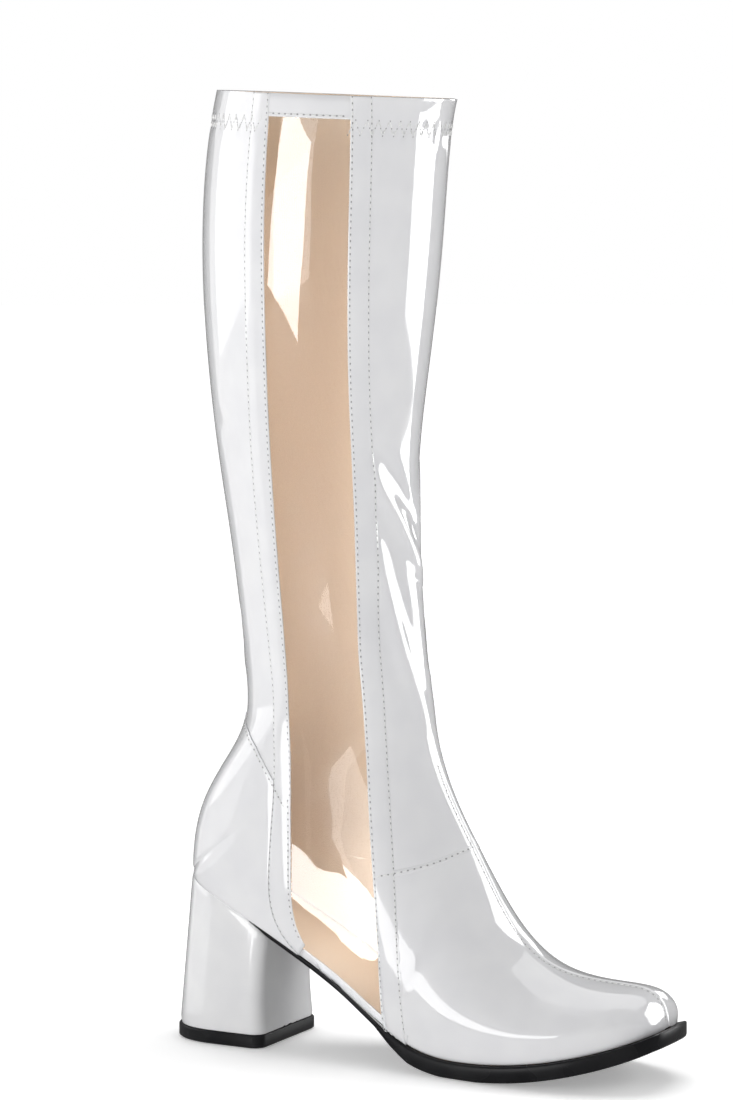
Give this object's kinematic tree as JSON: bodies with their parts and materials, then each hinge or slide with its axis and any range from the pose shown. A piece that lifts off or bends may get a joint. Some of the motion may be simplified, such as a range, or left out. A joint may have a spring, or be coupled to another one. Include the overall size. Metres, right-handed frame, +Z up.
{
  "type": "block heel boot",
  "caption": "Knee-high right boot in white patent with a clear window panel down its outer side, a rounded square toe, a black sole and a covered block heel.",
  "frame": {"origin": "middle of the bounding box, on the floor", "axes": "+X to the toe, +Y to the inner side, -Y to the outer side with the window, +Z up"},
  "size_m": [0.261, 0.111, 0.458],
  "materials": {
    "patent": "white patent, high gloss",
    "clear_sheet": "clear soft sheet, glossy",
    "lining": "off-white, matte",
    "sole": "black, semi-gloss edge",
    "heel_cover": "white patent cover, high gloss",
    "lift": "black, semi-gloss"
  },
  "bodies": {
    "root": {"upper": "patent", "window_panel": "clear_sheet", "window_band_front": "patent", "window_band_rear": "patent", "window_band_top": "patent", "counter": "patent", "insole": "lining", "outsole": "sole", "heel_block": "heel_cover", "top_lift": "lift"}
  },
  "joints": []
}
